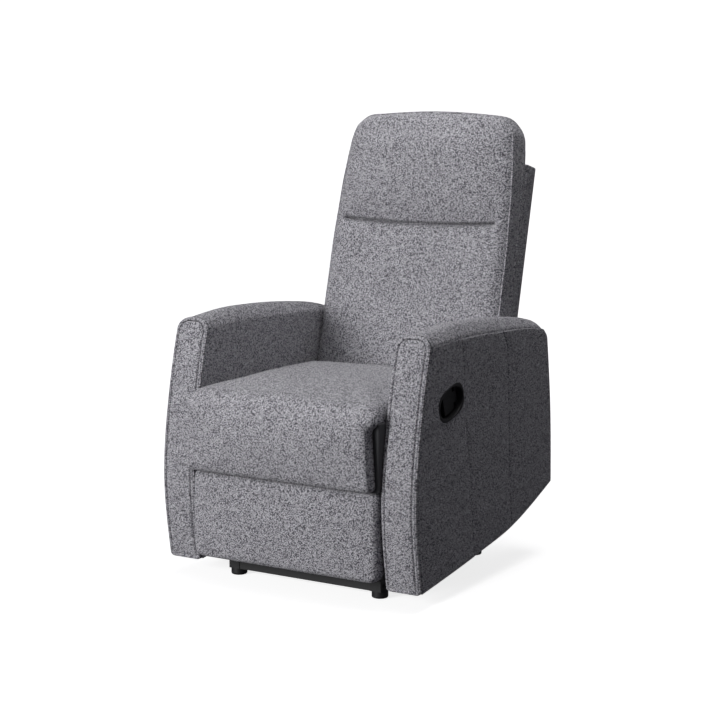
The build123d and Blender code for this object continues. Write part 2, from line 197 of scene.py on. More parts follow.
# ---- pins, bolts and springs ----------------------------------------------------------------------
# Zinc-plated rivets, bolts and spring wire: bright grey metal, clouded, with turning marks.
def zinc_plate():
    f = Finish("zinc_plate")
    p = f.place()
    cloud = f.noise(p, 60.0, 5.0, 0.6)
    marks = f.noise(f.stretched(p, (4000.0, 200.0, 200.0)), 1.0, 1.0)
    colour = f.ramp(cloud, (0.3, (0.42, 0.42, 0.43)), (0.7, (0.62, 0.61, 0.58)))
    return f.surface(Base_Color=colour, Metallic=1.0, Roughness=0.26 + 0.2 * cloud,
                     Normal=f.bump(marks, 0.15, 0.0002))


zinc = zinc_plate()
for name in ("link_anchor_pins", "seat_frame_bolts", "seat_frame_pins", "back_bracket_bolts",
             "coupler_pins", "control_rod_pins", "footrest_bolts", "seat_springs"):
    wear(name, zinc)


# ---- timber frame ---------------------------------------------------------------------------------
# Pine rails and plywood boards, planed but unfinished, with the grain along each length.
def pine():
    f = Finish("raw_pine")
    p = f.place()
    wander = f.noise(p, 5.0, 3.0)
    x, y, z = f.parts(p)
    rings = ((x + z * 0.6 + y * 0.06 + wander * 0.03) * 900.0).sine() * 0.5 + 0.5
    fibre = f.noise(f.stretched(p, (60.0, 60.0, 900.0)), 1.0, 3.0)
    tone = (rings * 0.5 + fibre * 0.5).clamped()
    colour = f.ramp(tone, (0.2, (0.42, 0.27, 0.13)), (0.8, (0.66, 0.48, 0.28)))
    return f.surface(Base_Color=colour, Roughness=0.62 + 0.15 * fibre,
                     Normal=f.bump(fibre, 0.3, 0.0005))


timber = pine()
for name in ("seat_side_rail_left", "seat_side_rail_right", "seat_front_rail",
             "seat_rear_rail", "arm_frames", "back_stile_left", "back_stile_right",
             "back_rails", "footrest_board"):
    wear(name, timber)


def elastic(name):
    """Black ribbed weave, in webbing and in the black blocks that paint shade into the gaps beside the
    seat.
    """
    f = Finish(name)
    x, _, z = f.parts(f.place())
    ribs = abs((x * 1400.0).sine()) * 0.6 + abs((z * 1400.0).sine()) * 0.4
    colour = f.ramp(ribs, (0.0, (0.01, 0.01, 0.012)), (1.0, (0.07, 0.07, 0.075)))
    return f.surface(Base_Color=colour, Roughness=0.85, Normal=f.bump(ribs, 0.5, 0.0006))


wear("back_webbing", elastic("elastic_webbing"))


# ---- heathered cloth ------------------------------------------------------------------------------
# Polyester upholstery cloth in a plain weave: every yarn is a melange of dark and pale grey, so
# single picks show as flecks. One cloth covers the whole chair.
YARN = 0.0018                       # spacing of the yarns
CLOTH_DARK = (0.034, 0.032, 0.041)
CLOTH_MID = (0.200, 0.195, 0.218)
CLOTH_PALE = (0.640, 0.632, 0.668)


def heathered_cloth():
    """Weave on (across, along): the paler warp lies on top where sin(across)*sin(along) is
    positive, and every crossing takes a tone of its own, partly shared along the yarn."""
    f = Finish("heathered_grey_cloth")
    p = f.place()
    x, y, z = f.parts(p)
    nx, ny, nz = (abs(n) for n in f.parts(f.node("ShaderNodeTexCoord", {}, {}, "Normal")))
    side = (nx > ny) * (nx > nz)
    flat = (nz > ny) * (1.0 - side)
    across = x + side * (y - x)
    along = z + flat * (y - z)
    column, row = (across / YARN).floored(), (along / YARN).floored()
    pick = f.node("ShaderNodeTexWhiteNoise", {"noise_dimensions": "2D"},
                  {"Vector": f.join(column, row)})
    streak_a = f.noise(f.join(column * 7.3, along / (3 * YARN)), 1.0, 1.0, 0.6, "2D")
    streak_b = f.noise(f.join(across / (3 * YARN), row * 7.3), 1.0, 1.0, 0.6, "2D")
    wave_a = (across * (math.pi / YARN)).sine()
    wave_b = (along * (math.pi / YARN)).sine()
    on_top = wave_a * wave_b > 0.0
    tone = pick * 0.58 + on_top * 0.32 + 0.10 * (streak_b + on_top * (streak_a - streak_b))
    relief = (abs(wave_a) * abs(wave_b)) ** 0.5
    bath = f.noise(p, 9.0, 2.0)
    # The relief term darkens the colour in the gaps between the yarns, a painted shade of the weave,
    # and lightens the yarns' crowns a little.
    shade = (tone + 0.10 * (relief - 0.6) + 0.03 * (bath - 0.5)).clamped()
    colour = f.ramp(shade, (0.33, CLOTH_DARK), (0.50, CLOTH_MID), (0.68, CLOTH_PALE))
    height = relief + tone * 0.6
    return f.surface(Base_Color=colour, Roughness=0.86 + 0.1 * tone, Sheen_Weight=0.12,
                     Sheen_Roughness=0.5, Specular_IOR_Level=0.25,
                     Normal=f.bump(height, 0.55, 0.0006))


cloth = heathered_cloth()


# ---- arms -----------------------------------------------------------------------------------------
# Each arm is a board box with sewn covers: an outer side in three lengths of cloth, an inner side,
# one strip that runs over the top and down the rear, and a padded facing on the front. Every
# panel's edge rolls under into the seam beside it.
DEPTH_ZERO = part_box("seat_cushion")[0].y + 0.048        # y of the arm fronts at half height
ARM_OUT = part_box("arm_outer_panel_right")[1].x
ARM_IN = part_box("arm_inner_panel_right")[0].x
ARM_MIDDLE, ARM_HALF = (ARM_OUT + ARM_IN) / 2, (ARM_OUT - ARM_IN) / 2
SIDE_DEPTH, SIDE_HEIGHT = 0.62, 0.49                    # mean size of an arm's side
PANEL = 0.014                                           # thickness of a covered side or facing
ROLL = 0.0030                                           # radius of a rolled edge


def through(places, values, at):
    """Smooth curve through points: cubic Hermite, each slope from the two neighbours."""
    places, values = np.asarray(places, float), np.asarray(values, float)
    steps, rises = np.diff(places), np.diff(values)
    slopes = rises / steps
    inner = (slopes[:-1] * steps[1:] + slopes[1:] * steps[:-1]) / (steps[:-1] + steps[1:])
    ends = (1.5 * slopes[0] - 0.5 * inner[0], 1.5 * slopes[-1] - 0.5 * inner[-1])
    tangents = np.concatenate([[ends[0]], inner, [ends[1]]])
    i = np.clip(np.searchsorted(places, at) - 1, 0, len(steps) - 1)
    h = steps[i]
    t = (at - places[i]) / h
    return ((2 * t**3 - 3 * t**2 + 1) * values[i] + (t**3 - 2 * t**2 + t) * h * tangents[i]
            + (3 * t**2 - 2 * t**3) * values[i + 1] + (t**3 - t**2) * h * tangents[i + 1])


def bell(distance, width):
    """1 on a line, falling smoothly to 0 about two widths away."""
    return np.exp(-(distance / width) ** 2)


def step_up(value, low, high):
    """0 below low, 1 above high, smooth between."""
    t = np.clip((value - low) / (high - low), 0, 1)
    return t * t * (3 - 2 * t)


def front_y(z):
    """Depth of the arm's front edge at a height."""
    return through([0.040, 0.245, 0.440, 0.581, 0.603], [0.022, -0.001, 0.024, 0.059, 0.066], z)


def rear_y(z):
    """Depth of the arm's rear edge; above the shoulder it slopes in towards the top."""
    shoulder = through([0.177, 0.370, 0.542], [0.673, 0.664, 0.641], np.minimum(z, 0.542))
    return shoulder - 1.08 * np.clip(z - 0.542, 0, None)


def bottom_z(y):
    """Height of the arm's lower edge, which rises towards the rear."""
    return through([0.022, 0.294, 0.464, 0.673], [0.040, 0.076, 0.105, 0.177], y)


def seam_z(y):
    """Height of the seam under the arm's top strip."""
    return through([-0.02, 0.191, 0.381, 0.565, 0.680], [0.577, 0.587, 0.582, 0.570, 0.549], y)


def spaced(length, edge, fine, coarse):
    """Places from 0 to length: steps of about `fine` within `edge` of either end."""
    count = max(2, round(edge / fine))
    border = np.linspace(0, edge, count, endpoint=False)
    middle = np.linspace(edge, length - edge, max(2, round((length - 2 * edge) / coarse)))
    return np.concatenate([border, middle, (length - border)[::-1]])


def quads(rows, columns, start=0):
    """Corner indices of a grid's faces."""
    i = start + np.arange(rows * columns).reshape(rows, columns)
    return np.stack([i[:-1, :-1], i[1:, :-1], i[1:, 1:], i[:-1, 1:]], -1).reshape(-1, 4)


def piece(name, points, faces, finish, body):
    """A mesh object from arrays, turned so that its closed surface faces outwards."""
    points, faces = np.asarray(points, float).reshape(-1, 3), np.asarray(faces)
    a, b, c, d = (points[faces[:, k]] for k in (0, 1, 2, -1))
    volume = (np.einsum("ij,ij->i", a, np.cross(b, c))
              + np.einsum("ij,ij->i", a, np.cross(c, d))).sum()
    if volume < 0:
        faces = faces[:, ::-1]
    mesh = bpy.data.meshes.new(name)
    mesh.from_pydata(points.tolist(), [], faces.tolist())
    mesh.polygons.foreach_set("use_smooth", np.full(len(faces), True))
    mesh.materials.append(finish)
    made = bpy.data.objects.new(name, mesh)
    scene.collection.objects.link(made)
    if body:
        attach(made, body)
    return made


def shell(name, outer, inner, finish, body):
    """Closed piece between two grids of the same size, joined round their borders."""
    rows, columns = outer.shape[:2]
    i = np.arange(rows * columns).reshape(rows, columns)
    rim = np.concatenate([i[:, 0], i[-1, 1:], i[-2::-1, -1], i[0, -2:0:-1]])
    after = np.roll(rim, -1)
    under = rows * columns
    band = np.stack([rim, rim + under, after + under, after], -1)
    faces = np.concatenate([quads(rows, columns), quads(rows, columns, under)[:, ::-1],
                            band[:, ::-1]])
    return piece(name, np.concatenate([outer.reshape(-1, 3), inner.reshape(-1, 3)]), faces,
                 finish, body)


def rolled(distance, radius):
    """How far an edge has dropped, from a quarter round at the border to nothing inside."""
    d = np.clip(distance / radius, 0, 1)
    return radius * (1 - np.sqrt(np.clip(1 - (1 - d) ** 2, 0, 1)))


def side_grid(low, high):
    """Grid on an arm's side view between two lines u(w): u is the share of the way from front to
    rear, w the share of the way up. Returns depths, heights and the distance to the border."""
    w = spaced(1.0, 0.012, 0.0024, 0.02)[None, :]
    t = spaced(1.0, 0.03, 0.006, 0.04)[:, None]
    u = low(w) + (high(w) - low(w)) * t
    y, z = np.broadcast_arrays(u * 0.6 + 0.03, 0.1 + w * 0.45)
    for _ in range(40):
        front, rear = front_y(z) + PANEL, rear_y(z)
        y = front + (rear - front) * u
        z = bottom_z(y) + (seam_z(y) - bottom_z(y)) * w
    wide = (high(w) - low(w)) * SIDE_DEPTH
    reach = np.minimum(np.minimum(t, 1 - t) * wide, np.minimum(w, 1 - w) * SIDE_HEIGHT)
    return y, z, reach


def side_panel(name, x, out, low, high, roll):
    """Flat covered board, slightly full in the middle, with rolled edges."""
    y, z, reach = side_grid(low, high)
    full = 0.0016 * (1 - np.exp(-reach / 0.03))
    outer = np.stack([x + out * (full - rolled(reach, roll)), y + DEPTH_ZERO, z], -1)
    inner = np.stack([np.full_like(y, x - out * PANEL), y + DEPTH_ZERO, z], -1)
    return shell(name, outer, inner, cloth, "seat_frame")


def main_seam(w):
    """The rear seam's share of the way to the rear, at w of the way up."""
    return 0.673 - 0.042 * w


def faint_seam(w):
    """The front seam: it leans forward, and more so above the bend."""
    bend, lean_below, lean_above = 0.374, 0.017, 0.115
    below = lean_below * w / bend
    above = lean_below + lean_above * (w - bend) / (1 - bend)
    return 0.381 - np.where(w < bend, below, above)


def first_edge(w):
    return 0.0 * w


def last_edge(w):
    return 0.0 * w + 1.0


# Path of the strip over the top and down the rear, (depth, height), with a rounded rear corner.
STRIP_PATH = [(0.066, 0.603), (0.120, 0.609), (0.190, 0.614), (0.290, 0.613), (0.390, 0.608),
              (0.490, 0.599), (0.570, 0.588), (0.612, 0.576), (0.634, 0.556), (0.645, 0.525),
              (0.653, 0.470), (0.664, 0.370), (0.670, 0.270), (0.673, 0.177)]
STRIP_CROWN = [0.021, 0.024, 0.027, 0.028, 0.027, 0.024, 0.020, 0.015, 0.010, 0.010,
               0.010, 0.010, 0.009, 0.008]


def travelled(points):
    """Distance along a path at each of its points."""
    return np.concatenate([[0], np.cumsum(np.linalg.norm(np.diff(points, axis=0), axis=1))])


ARCH = 0.036                        # half width of the round at each edge of an arm's top


def arm_strip(name, sign):
    """Strip section: flat across the middle, part of an ellipse at each edge down to the seam; it
    is carried along the path with its back to the arm."""
    knots = np.array(STRIP_PATH)
    along = travelled(knots)
    s = spaced(along[-1], 0.02, 0.003, 0.010)
    path = np.stack([through(along, knots[:, k], s) for k in (0, 1)], -1)
    crown = through(along, STRIP_CROWN, s)[:, None]
    tangent = np.gradient(path, axis=0)
    tangent /= np.linalg.norm(tangent, axis=1, keepdims=True)
    out = np.stack([-tangent[:, 1], tangent[:, 0]], -1)
    last = math.radians(64)
    angle = np.linspace(0, last, 12)[None, :]
    arch = ARCH - 0.020 * step_up(s, along[-1] - 0.42, along[-1] - 0.34)[:, None]
    bend_x = ARM_HALF - arch + arch * np.sin(angle) / math.sin(last)
    edge = crown + 0.0025               # the strip's edge laps over the side panel
    bend_drop = edge * (1 - np.cos(angle)) / (1 - math.cos(last))
    flat_x = (ARM_HALF - arch) * np.linspace(-1, 1, 13)[None, 1:-1]
    x = np.concatenate([-bend_x[:, ::-1], flat_x, bend_x], 1)
    drop = np.concatenate([bend_drop[:, ::-1], 0 * flat_x, bend_drop], 1)
    tuck = rolled(np.maximum(edge - drop, 0), ROLL) * np.where(x > 0, 1.0, 0.15)
    x = x - np.sign(x) * tuck
    drop = drop - 0.0022 * np.cos(x / ARM_HALF * math.pi / 2)
    end = rolled(np.minimum(s, along[-1] - s), ROLL)[:, None]

    def laid(x, drop):
        yz = path[:, None, :] - out[:, None, :] * drop[..., None]
        return np.stack([sign * (ARM_MIDDLE + x), yz[..., 0] + DEPTH_ZERO, yz[..., 1]], -1)

    made = shell(name, laid(x, drop + end), laid(x * 0.94, np.broadcast_to(crown + 0.006,
                                                                          x.shape)),
                 cloth, "seat_frame")
    return made


FACING_TOP, FACING_RISE, FOOT_CORNER = 0.607, 0.027, 0.011
BORDER, STITCH_DEPTH = 0.0085, 0.0030       # topstitched border of a facing


def arm_facing(name, sign):
    """Facing: columns run from the foot to an arched top. Height over the board is full inside,
    with a rounded border and a sunk line of stitching round it."""
    x = spaced(2 * ARM_HALF, 0.016, 0.0012, 0.004)[:, None] - ARM_HALF
    v = spaced(1.0, 0.034, 0.0022, 0.014)[None, :]
    past = np.clip(np.abs(x) - (ARM_HALF - ARCH), 0, None) / ARCH
    top = FACING_TOP - FACING_RISE * (1 - np.sqrt(np.maximum(1 - past**2, 0)))
    beyond = np.clip(np.abs(x) - (ARM_HALF - FOOT_CORNER), 0, None) / FOOT_CORNER
    foot = bottom_z(0.022) + FOOT_CORNER * (1 - np.sqrt(np.maximum(1 - beyond**2, 0)))
    z = foot + (top - foot) * v
    rise = np.clip(z - (FACING_TOP - FACING_RISE), 0, None) / FACING_RISE
    corner = (1 - np.hypot(past, rise)) * FACING_RISE
    straight = np.minimum(ARM_HALF - np.abs(x), FACING_TOP - z)
    reach = np.where((past > 0) & (rise > 0), np.minimum(corner * 1.1, straight), straight)
    reach = np.clip(np.minimum(reach, z - foot), 0, None)
    groove = STITCH_DEPTH * np.exp(-((reach - BORDER) / 0.0016) ** 2)
    full = 0.0030 * (1 - np.exp(-np.clip(reach - BORDER, 0, None) / 0.012))
    rise = full - groove - rolled(reach, 0.0042)
    y = front_y(z) - rise + DEPTH_ZERO
    back = front_y(z) + PANEL + DEPTH_ZERO
    xs = np.broadcast_to(sign * (ARM_MIDDLE + x), z.shape)
    made = shell(name, np.stack([xs, y, z], -1), np.stack([xs, back, z], -1), cloth,
                 "seat_frame")
    return made


def sewing_thread():
    f = Finish("sewing_thread")
    twist = f.noise(f.stretched(f.place(), (900.0, 900.0, 900.0)), 1.0, 1.0)
    colour = f.mix(twist, (0.022, 0.021, 0.026, 1), (0.060, 0.058, 0.068, 1))
    return f.surface(Base_Color=colour, Roughness=0.7)


thread = sewing_thread()


def tube_faces(rings, sides):
    """Walls between rings of points, and a fan of quads over each end; sides is even."""
    i = np.arange(rings * sides).reshape(rings, sides)
    wall = np.stack([i[:-1], i[1:], np.roll(i[1:], -1, 1), np.roll(i[:-1], -1, 1)], -1)
    fan = np.array([[0, k, k + 1, k + 2] for k in range(1, sides - 2, 2)])
    return np.concatenate([wall.reshape(-1, 4), fan, (rings - 1) * sides + fan[:, ::-1]])


def stitches(name, path, body, pitch=0.0056, length=0.0040, radius=0.00055):
    """Row of separate stitches on a path: six-sided spindles laid end to end with gaps."""
    along = travelled(path)
    count = int(along[-1] / pitch)
    at = (np.arange(count) + 0.5) * pitch
    middle = np.stack([np.interp(at, along, path[:, k]) for k in range(3)], -1)
    ahead = np.stack([np.interp(at + 0.001, along, path[:, k]) for k in range(3)], -1) - middle
    ahead /= np.maximum(np.linalg.norm(ahead, axis=1, keepdims=True), 1e-9)
    over = np.cross(ahead, [0.31, 0.17, 0.05]) + 1e-6
    over /= np.linalg.norm(over, axis=1, keepdims=True)
    third = np.cross(ahead, over)
    sides = 6
    turn = np.linspace(0, 2 * math.pi, sides, endpoint=False)
    spans = np.array([-0.5, -0.40, 0.40, 0.5]) * length
    sizes = np.array([0.25, 1.0, 1.0, 0.25]) * radius
    ring = np.cos(turn)[:, None] * over[:, None] + np.sin(turn)[:, None] * third[:, None]
    points = (middle[:, None, None] + ahead[:, None, None] * spans[None, :, None, None]
              + ring[:, None] * sizes[None, :, None, None])
    starts = len(spans) * sides * np.arange(count)[:, None, None]
    faces = (tube_faces(len(spans), sides) + starts).reshape(-1, 4)
    made = piece(name, points, faces, thread, body)


def facing_stitches(name, sign):
    """Topstitching in the sunk line: up one edge, over the arch, down the other."""
    climb = np.linspace(0.056, FACING_TOP - FACING_RISE, 60)
    turn = np.linspace(0, math.pi / 2, 16)[1:]
    arc_x = ARM_HALF - ARCH + (ARCH - BORDER) * np.cos(turn)
    arc_z = FACING_TOP - FACING_RISE + (FACING_RISE - BORDER) * np.sin(turn)
    x = np.concatenate([np.full_like(climb, ARM_HALF - BORDER), arc_x])
    z = np.concatenate([climb, arc_z])
    x, z = np.concatenate([x, -x[::-1]]), np.concatenate([z, z[::-1]])
    y = front_y(z) + DEPTH_ZERO + STITCH_DEPTH - 0.0016
    stitches(name, np.stack([sign * (ARM_MIDDLE + x), y, z], -1), "seat_frame")


facing_stitches("facing_stitches_left", -1)
facing_stitches("facing_stitches_right", 1)


for side, sign in (("left", -1), ("right", 1)):
    face = sign * ARM_OUT
    fore = side_panel(f"arm_side_fore_{side}", face, sign, first_edge, faint_seam, 0.0018)
    mid = side_panel(f"arm_side_middle_{side}", face, sign, faint_seam, main_seam, 0.0034)
    aft = side_panel(f"arm_side_rear_{side}", face, sign, main_seam, last_edge, 0.0038)
    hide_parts(f"arm_outer_panel_{side}")
    inner = side_panel(f"arm_inner_cover_{side}", sign * ARM_IN, -sign, first_edge, last_edge,
                       0.0008)
    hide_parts(f"arm_inner_panel_{side}")
    strip = arm_strip(f"arm_top_strip_{side}", sign)
    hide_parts(f"arm_top_pad_{side}", "arm_rear_walls")
    facing = arm_facing(f"arm_front_facing_cover_{side}", sign)
    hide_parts(f"arm_front_facing_{side}")


def arm_underside(name, sign):
    """Cloth wrap under an arm: a thin strip that follows the bottom edge."""
    y = np.linspace(0.036, 0.668, 60)[:, None]
    x = np.linspace(-ARM_HALF + 0.006, ARM_HALF - 0.006, 9)[None, :]
    z = bottom_z(y) + 0.0 * x + 0.002
    ys = np.broadcast_to(y + DEPTH_ZERO, z.shape)
    xs = np.broadcast_to(sign * (ARM_MIDDLE + x), z.shape)
    return shell(name, np.stack([xs, ys, z], -1), np.stack([xs, ys, z + 0.004], -1), cloth,
                 "seat_frame")


for side, sign in (("left", -1), ("right", 1)):
    arm_underside(f"arm_underside_{side}", sign)


# ---- seat cushion -----------------------------------------------------------------------------------
# One foam pad in one cover: flat over the springs, rolled over the front rail and down to the top
# of the footrest. The front drop is narrower than the seat, which leaves a notch beside each arm.
def rounded_block(low, high, radius, step):
    """Surface of a box with round edges: each point of a cube's grid is pulled back to the box
    shrunk by the radius, then pushed out by the radius."""
    low, high = np.array(low, float), np.array(high, float)
    points, faces, start = [], [], 0
    for axis in range(3):
        p, q = [k for k in range(3) if k != axis]
        for level in (low[axis], high[axis]):
            a = spaced(high[p] - low[p], radius, radius / 5, step) + low[p]
            b = spaced(high[q] - low[q], radius, radius / 5, step) + low[q]
            grid = np.zeros((len(a), len(b), 3))
            grid[..., p], grid[..., q], grid[..., axis] = a[:, None], b[None, :], level
            turned = (level == high[axis]) != (axis == 1)
            face = quads(len(a), len(b), start)
            faces.append(face if turned else face[:, ::-1])
            points.append(grid.reshape(-1, 3))
            start += grid.size // 3
    points = np.concatenate(points)
    core = np.clip(points, low + radius, high - radius)
    away = points - core
    length = np.linalg.norm(away, axis=1, keepdims=True)
    return core + away / np.maximum(length, 1e-9) * np.minimum(length, radius), \
        np.concatenate(faces)


def rough(name, *blocks):
    """One object from several closed blocks, to be fused by the remesh."""
    points, faces, start = [], [], 0
    for block_points, block_faces in blocks:
        points.append(block_points)
        faces.append(block_faces + start)
        start += len(block_points)
    return piece(name, np.concatenate(points), np.concatenate(faces), cloth, None)


def applied(made):
    """Bakes the modifiers into the mesh."""
    graph = bpy.context.evaluated_depsgraph_get()
    mesh = bpy.data.meshes.new_from_object(made.evaluated_get(graph))
    old = made.data
    made.modifiers.clear()
    made.data = mesh
    bpy.data.meshes.remove(old)
    return made


def corners(made):
    """Vertex places as an array."""
    co = np.empty(len(made.data.vertices) * 3)
    made.data.vertices.foreach_get("co", co)
    return co.reshape(-1, 3)


def shaped(made, points):
    made.data.vertices.foreach_set("co", np.asarray(points, float).ravel())
    made.data.update()
    return made


def spread_out(made, moved, rounds):
    """Evens a movement over the mesh: each point takes the mean of itself and its neighbours."""
    ends = np.empty(len(made.data.edges) * 2, dtype=np.int64)
    made.data.edges.foreach_get("vertices", ends)
    a, b = ends.reshape(-1, 2).T
    count = np.bincount(ends, minlength=len(moved))[:, None] + 1.0
    for _ in range(rounds):
        total = moved.copy()
        for k in range(3):
            total[:, k] += np.bincount(a, moved[b, k], len(moved))
            total[:, k] += np.bincount(b, moved[a, k], len(moved))
        moved = total / count
    return moved


def stuffed(made, voxel, held, most, pressure=4.0):
    """Sewn and stuffed: the rough block is remeshed, blown up as cloth against the places that are
    held, no point moving more than `most`, then subdivided once."""
    remesh = made.modifiers.new("even_cloth", "REMESH")
    remesh.mode, remesh.voxel_size = "VOXEL", voxel
    applied(made)
    start = corners(made)
    facing = np.empty(start.size)
    made.data.vertices.foreach_get("normal", facing)
    facing = facing.reshape(-1, 3)
    group = made.vertex_groups.new(name="held")
    group.add(np.flatnonzero(held(start)).tolist(), 1.0, "REPLACE")
    sim = made.modifiers.new("stuffing", "CLOTH")
    sim.settings.vertex_group_mass = "held"
    sim.settings.use_pressure = True
    sim.settings.uniform_pressure_force = pressure
    sim.settings.effector_weights.gravity = 0.0
    sim.settings.quality = 5
    sim.settings.mass = 0.3
    sim.settings.tension_stiffness = sim.settings.compression_stiffness = 15.0
    sim.settings.shear_stiffness = 8.0
    sim.settings.bending_stiffness = 0.8
    for step in range(1, 21):
        scene.frame_set(step)
    applied(made)
    scene.frame_set(1)
    moved = corners(made) - start
    inward = np.minimum((moved * facing).sum(1, keepdims=True), 0)
    moved -= 0.8 * inward * facing
    size = np.maximum(np.linalg.norm(moved, axis=1, keepdims=True), 1e-9)
    moved *= most * np.tanh(size / most) / size
    shaped(made, start + spread_out(made, moved, 12))
    smooth = made.modifiers.new("finer", "SUBSURF")
    smooth.levels = smooth.render_levels = 1
    applied(made)
    made.data.polygons.foreach_set("use_smooth", np.full(len(made.data.polygons), True))
    made.data.materials.clear()
    made.data.materials.append(cloth)
    return made


def eased(points, axes, corner, signs, radius):
    """Rounds one long edge of a block: past the centre of the round, in both axes, points are
    pulled in onto the circle."""
    over = [s * (points[:, k] - c) + radius for k, c, s in zip(axes, corner, signs)]
    past = (over[0] > 0) & (over[1] > 0)
    ratio = np.maximum(*over) / np.maximum(np.hypot(*over), 1e-9)
    for k, c, s, o in zip(axes, corner, signs, over):
        points[:, k] = np.where(past, c - s * radius + s * o * ratio, points[:, k])


seat_low, seat_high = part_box("seat_cushion")
SEAT_FRONT, HEM = seat_low.y, seat_low.z - 0.0025
SEAT_HALF, DROP_HALF, SEAT_TOP = 0.2515, 0.2365, 0.455


def seat_pad():
    rear = seat_high.y
    fore, aft = SEAT_FRONT + 0.006, rear - 0.002
    bed = rounded_block((-SEAT_HALF, SEAT_FRONT + 0.070, 0.380), (SEAT_HALF, aft, 0.440),
                        0.012, 0.010)
    top = rounded_block((-SEAT_HALF, fore, 0.413), (SEAT_HALF, aft, SEAT_TOP), 0.012, 0.010)
    for side in (-1, 1):
        eased(top[0], (0, 2), (side * SEAT_HALF, SEAT_TOP), (side, 1), 0.022)
    eased(top[0], (1, 2), (fore, SEAT_TOP), (-1, 1), 0.058)
    drop = rounded_block((-DROP_HALF, fore, HEM), (DROP_HALF, SEAT_FRONT + 0.052, 0.430),
                         0.011, 0.010)
    eased(drop[0], (1, 2), (fore, HEM), (-1, -1), 0.018)
    made = rough("seat_cushion_cover", bed, top, drop)

    def held(p):
        x, y, z = np.abs(p[:, 0]), p[:, 1], p[:, 2]
        under = (z < 0.390) & (y > SEAT_FRONT + 0.055)
        behind = (y > SEAT_FRONT + 0.040) & (z < 0.382)
        edges = ((x > 0.243) & (z < 0.440)) | ((x > 0.222) & (z < 0.428)) | (z < HEM + 0.012)
        return under | behind | edges | (y > rear - 0.016)

    stuffed(made, 0.0060, held, 0.016, 5.0)
    p = corners(made)
    x, y, z = p.T
    arch = np.cos(np.clip(x / 0.27, -1, 1) * math.pi / 2)
    near_front = 1 - step_up(y, SEAT_FRONT + 0.03, SEAT_FRONT + 0.16)
    upper = step_up(z, 0.40, 0.45)
    run = np.clip((y - SEAT_FRONT) / 0.5, 0, 1)
    p[:, 2] += upper * 0.010 * arch**0.7 * (0.45 + 0.55 * np.sin(run * math.pi) ** 0.7)
    # The drop bulges forward at half height and flares a little at the hem.
    lower = 1 - step_up(z, 0.40, 0.45)
    waist = np.sin(np.clip((z - HEM) / 0.17, 0, 1) * math.pi)
    p[:, 1] -= lower * near_front * 0.007 * arch**0.6 * waist
    flare = np.clip((0.43 - z) / (0.43 - HEM), 0, 1) * step_up(np.abs(x), 0.15, 0.24)
    p[:, 0] += np.sign(x) * 0.010 * flare
    # Gathers along the hem, and shallow drags from the rear corners.
    gather = np.sin(x * 520.0 + 2.0 * np.sin(x * 61.0)) * (1 - step_up(z, HEM + 0.004, HEM + 0.02))
    p[:, 1] -= 0.0008 * gather * near_front
    drag = np.sin((np.abs(x) * 0.8 + y) * 42.0) * bell(y - rear + 0.07, 0.06)
    slack = np.sin(x * 23.0 + 1.3) * np.sin(y * 31.0 + x * 9.0)
    p[:, 2] += upper * (0.0012 * drag + 0.0010 * slack)
    shaped(made, p)
    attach(made, "seat_frame")
    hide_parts("seat_cushion")


seat_pad()


def gap_shade_blocks(name, sign):
    """Black blocks beside the drop and down behind the edge of the footrest: painted shade in those
    gaps.
    """
    near, far = sorted((sign * 0.2380, sign * 0.2538))
    inner, outer = sorted((sign * 0.2260, sign * 0.2548))
    above = rounded_block((inner, SEAT_FRONT + 0.038, HEM - 0.002),
                          (outer, SEAT_FRONT + 0.070, 0.420), 0.004, 0.02)
    below = rounded_block((near, SEAT_FRONT + 0.084, 0.060), (far, SEAT_FRONT + 0.092, 0.286),
                          0.002, 0.02)
    for part, (points, faces) in (("notch", above), ("skirt", below)):
        made = piece(f"{name}_{part}", points, faces, gap_shade_cloth, "seat_frame")


# The black blocks in the notch beside the drop and behind the footrest's edge are painted shade.
gap_shade_cloth = elastic("black_gap_shade")
gap_shade_blocks("gap_shade_blocks_left", -1)
gap_shade_blocks("gap_shade_blocks_right", 1)


# ---- footrest pad -----------------------------------------------------------------------------------
# Foam on a plywood board, in one cover drawn round to the back.
pad_low, pad_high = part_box("footrest_pad")


def footrest_pad():
    low = (pad_low.x + 0.001, pad_low.y + 0.006, pad_low.z + 0.001)
    high = (pad_high.x - 0.001, pad_high.y, pad_high.z + 0.0015)
    block = rounded_block(low, high, 0.009, 0.010)
    for side in (-1, 1):
        eased(block[0], (0, 2), (side * high[0], low[2]), (side, -1), 0.024)
        eased(block[0], (0, 1), (side * high[0], low[1]), (side, -1), 0.014)
    for height, way in ((high[2], 1), (low[2], -1)):
        eased(block[0], (1, 2), (low[1], height), (-1, way), 0.017)
    made = rough("footrest_cover", block)

    def held(p):
        x, z = np.abs(p[:, 0]), p[:, 2]
        edges = (x > high[0] - 0.010) | (z < low[2] + 0.010) | (z > high[2] - 0.009)
        return (p[:, 1] > pad_high.y - 0.020) | edges

    stuffed(made, 0.0055, held, 0.010, 5.0)
    p = corners(made)
    x, z = p[:, 0] / high[0], (p[:, 2] - low[2]) / (high[2] - low[2]) * 2 - 1
    front = 1 - step_up(p[:, 1], low[1] + 0.002, low[1] + 0.024)
    swell = np.clip(1 - x**4, 0, 1) * np.clip(1 - z**4, 0, 1)
    p[:, 1] -= 0.006 * front * swell
    gather = np.sin(p[:, 0] * 480.0 + 2.0 * np.sin(p[:, 0] * 57.0)) * bell(z - 0.93, 0.10)
    p[:, 1] -= 0.0009 * front * gather
    shaped(made, p)
    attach(made, "footrest")
    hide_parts("footrest_pad")


footrest_pad()


